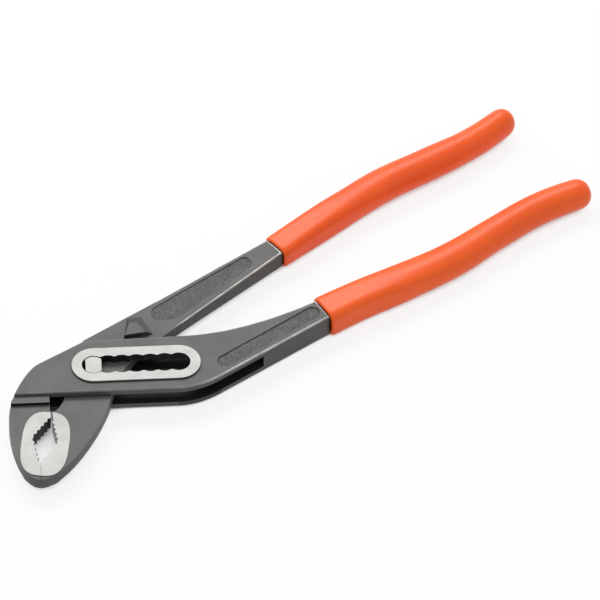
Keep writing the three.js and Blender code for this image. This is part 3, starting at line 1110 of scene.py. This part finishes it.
    def build(self) -> bpy.types.Object:
        """Models the sleeve straight, from its socket round the lip to its domed end, and bends it.

        Returns:
            The new piece.
        """
        socket_end = self.length - self.end_wall
        self.start_ring(socket_end, self.socket_end_half)
        bpy.ops.mesh.edge_face_add()
        steps = self.rings // 2
        stride = (self.mouth - socket_end) / steps
        for i in range(1, steps + 1):
            self.carry_on(stride)
            half = self.socket_end_half + (self.socket_half - self.socket_end_half) * i / steps
            self.fit_ring(socket_end + stride * i, half, half, 0.0)
        place = self.mouth
        for reach in self.stations():
            self.carry_on(reach - place)
            self.fit_ring(reach, *self.size_at(reach), self.rounding_between(place, reach))
            place = reach
        self.carry_on(self.length + self.tip_allowance - place)
        bpy.ops.mesh.merge(type="CENTER")
        bpy.ops.mesh.select_all(action="SELECT")
        bpy.ops.mesh.normals_make_consistent(inside=False)
        bpy.ops.object.mode_set(mode="OBJECT")
        self.smooth_and_bend()
        log.info("%s: %d faces", self.name, len(self.piece.data.polygons))
        return self.piece

    def handle_line(self) -> bpy.types.Object:
        """Makes the curve that the handle follows.

        Returns:
            The curve object.
        """
        chord = Vector((math.cos(self.angle), math.sin(self.angle)))
        left = Vector((-chord.y, chord.x))
        bows = [0.0, *self.bows, 0.0]
        bpy.ops.curve.primitive_bezier_curve_add(location=(0.0, 0.0, 0.0))
        line = bpy.context.object
        spline = line.data.splines[0]
        spline.bezier_points.add(len(bows) - len(spline.bezier_points))
        for i, (point, bow) in enumerate(zip(spline.bezier_points, bows)):
            spot = Vector(self.start) + chord * (self.length * i / (len(bows) - 1)) + left * bow
            point.co = from_bolt(spot.x, spot.y)
            point.handle_left_type = point.handle_right_type = "AUTO"
        line.data.resolution_u = self.line_steps
        line.data.twist_mode = "Z_UP"
        return line

    def smooth_and_bend(self) -> None:
        """Subdivides the straight sleeve and bends it along its handle."""
        line = self.handle_line()
        take_hold(self.piece)
        for kind in ("SUBSURF", "CURVE"):
            bpy.ops.object.modifier_add(type=kind)
        self.piece.modifiers[0].levels = self.smooth_levels
        self.piece.modifiers[1].object = line
        for modifier in list(self.piece.modifiers):
            bpy.ops.object.modifier_apply(modifier=modifier.name)
        bpy.data.objects.remove(line)
        bpy.ops.object.shade_smooth_by_angle(angle=self.smooth_angle)

    def dress(self, finishes: Finishes) -> None:
        """Gives the sleeve its material and place in the model.

        Args:
            finishes: The shared materials.
        """
        self.piece.data.materials.clear()
        self.piece.data.materials.append(finishes.vinyl)
        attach(self.piece, self.body)
        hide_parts(self.node)


def seen_white(tree: bpy.types.NodeTree) -> bpy.types.NodeSocket:
    """Adds a switch that is 1 for what the camera sees, directly, mirrored or through glass.

    Args:
        tree: The material's or the world's nodes.

    Returns:
        The switch.
    """
    path = tree.nodes.new("ShaderNodeLightPath")
    switch = path.outputs["Is Camera Ray"]
    for ray in ("Is Glossy Ray", "Is Transmission Ray"):
        either = tree.nodes.new("ShaderNodeMath")
        either.operation = "MAXIMUM"
        tree.links.new(switch, either.inputs[0])
        tree.links.new(path.outputs[ray], either.inputs[1])
        switch = either.outputs[0]
    return switch


@dataclass
class Studio:
    """White floor, one soft light and the camera at the photograph's angle."""

    elevation: float = math.radians(48.0)
    heading: float = math.radians(-33.1)
    frame_width: float = 219.4 * MM
    right_of_bolt: float = 75.5 * MM
    up_from_bolt: float = 23.6 * MM
    lens: float = 1500.0
    floor_size: float = 6.0
    sky: float = 0.62
    shadow_lift: float = 0.84
    shadow_reach: float = 12.0 * MM
    shadow_span: Pair = (0.13, 0.36)
    floor_bounce: Colour = (0.92, 0.92, 0.92, 1.0)
    paper_scale: float = 30.0
    paper_tones: Pair = (0.94, 0.96)
    softbox_power: float = 8.6
    softbox_size: Pair = (1.1, 0.36)
    softbox_reach: float = 0.73
    softbox_height: float = 0.88
    softbox_left: float = 0.2

    def build(self) -> None:
        """Makes the camera, the floor, the world and the light."""
        right = Vector((math.cos(self.heading), math.sin(self.heading), 0.0))
        away = Vector((-right.y, right.x, 0.0))
        look = away * math.cos(self.elevation) - Vector((0.0, 0.0, math.sin(self.elevation)))
        up = right.cross(look)
        self.camera(right, look, up)
        self.floor()
        self.world()
        middle = (CAD_BOX[0] + CAD_BOX[1]) / 2
        spot = middle - right * self.softbox_left + away * self.softbox_reach
        spot.z += self.softbox_height
        self.softbox(spot, middle, right)

    def camera(self, right: Vector, look: Vector, up: Vector) -> None:
        """Makes the camera.

        Args:
            right: Direction of the image's right side.
            look: Direction of the view.
            up: Direction of the image's top.
        """
        ring_face = Vector((BOLT.x, BOLT.y, CAD_BOX[1].z))
        target = ring_face + right * self.right_of_bolt + up * self.up_from_bolt
        data = bpy.data.cameras.new("photo_camera")
        data.lens = self.lens
        distance = self.frame_width * data.lens / data.sensor_width
        spot = target - look * distance
        turn = Matrix((right, up, -look)).transposed().to_4x4()
        view = bpy.data.objects.new("photo_camera", data)
        view.matrix_world = Matrix.Translation(spot) @ turn
        bpy.context.scene.collection.objects.link(view)
        bpy.context.scene.camera = view

    def floor(self) -> None:
        """Makes the white floor. It keeps the tool's shadow, softened by a share of plain white."""
        bpy.ops.object.select_all(action="DESELECT")
        bpy.ops.mesh.primitive_plane_add(size=self.floor_size, location=(0.0, 0.0, CAD_BOX[0].z))
        ground = bpy.context.object
        ground.name = "floor"
        nodes = Nodes("floor_white")
        seen = seen_white(nodes.tree)
        paper = nodes.spread(nodes.noise(self.paper_scale), NOISE_SPAN, self.paper_tones)
        colour = nodes.mix(seen, self.floor_bounce, paper)
        lit = nodes.add("ShaderNodeBsdfDiffuse", Color=colour).outputs["BSDF"]
        plain = nodes.add("ShaderNodeEmission", Strength=1.0).outputs["Emission"]
        lift = nodes.spread(nodes.open_sky(self.shadow_reach), self.shadow_span, (0.0, self.shadow_lift))
        share = nodes.times(seen, lift)
        both = nodes.add("ShaderNodeMixShader")
        nodes.feed(both.inputs[0], share)
        nodes.feed(both.inputs[1], lit)
        nodes.feed(both.inputs[2], plain)
        output = nodes.add("ShaderNodeOutputMaterial")
        nodes.feed(output.inputs["Surface"], both.outputs["Shader"])
        ground.data.materials.append(nodes.material)

    def world(self) -> None:
        """Makes the even studio surround, white to the camera."""
        surround = bpy.data.worlds.new("studio")
        surround.use_nodes = True
        tree = surround.node_tree
        tree.nodes.clear()
        strength = tree.nodes.new("ShaderNodeMapRange")
        strength.inputs["To Min"].default_value = self.sky
        strength.inputs["To Max"].default_value = 1.0
        sky = tree.nodes.new("ShaderNodeBackground")
        output = tree.nodes.new("ShaderNodeOutputWorld")
        sky.inputs["Color"].default_value = (1.0, 1.0, 1.0, 1.0)
        tree.links.new(seen_white(tree), strength.inputs["Value"])
        tree.links.new(strength.outputs["Result"], sky.inputs["Strength"])
        tree.links.new(sky.outputs["Background"], output.inputs["Surface"])
        bpy.context.scene.world = surround
        bpy.context.scene.view_settings.view_transform = "Standard"

    def softbox(self, spot: Vector, target: Vector, right: Vector) -> None:
        """Hangs the long soft light over the tool's far side.

        Args:
            spot: Where it hangs.
            target: What it points at.
            right: Direction of its long side.
        """
        data = bpy.data.lights.new("far_softbox", "AREA")
        data.shape = "RECTANGLE"
        data.size, data.size_y = self.softbox_size
        data.energy = self.softbox_power
        back = (spot - target).normalized()
        side = back.cross(right).normalized()
        turn = Matrix((side.cross(back), side, back)).transposed().to_4x4()
        lamp = bpy.data.objects.new("far_softbox", data)
        lamp.matrix_world = Matrix.Translation(spot) @ turn
        bpy.context.scene.collection.objects.link(lamp)


def main() -> None:
    """Builds and dresses every piece, then the studio."""
    logging.basicConfig(level=logging.INFO, format="%(name)s: %(message)s")
    finishes = Finishes()
    pieces = [
        OuterLever("outer_lever_forging", "outer_lever", "outer", "lever_steel"),
        InnerLever("inner_lever_forging", "inner_lever", "inner", "lever_steel"),
        BrightPin("pivot_bolt_ground", "pivot_bolt", "inner", "ground_steel"),
        CorePin("bolt_core_ground", "bolt_core_pin", "slider", "ground_steel"),
        Grip(
            "outer_grip_sleeve", "outer_grip", "outer",
            start=(79.9, 20.9), length=123.27, angle=math.radians(29.77),
            bows=[-0.05, -1.3, -1.7, 0.6, 2.15],
            half_widths=[6.9, 6.5, 6.85, 6.95, 6.3, 6.05, 5.6], arm_thickness=10.2,
        ),
        Grip(
            "inner_grip_sleeve", "inner_grip", "inner",
            start=(64.57, 52.85), length=116.8, angle=math.radians(35.15),
            bows=[1.15, 2.05, 2.35, 0.2, -1.4],
            half_widths=[5.75, 5.75, 6.0, 6.55, 6.4, 5.6, 5.1], arm_thickness=8.0,
        ),
    ]
    for piece in pieces:
        piece.build()
        piece.dress(finishes)
    Studio().build()


if __name__ == "__main__":
    main()
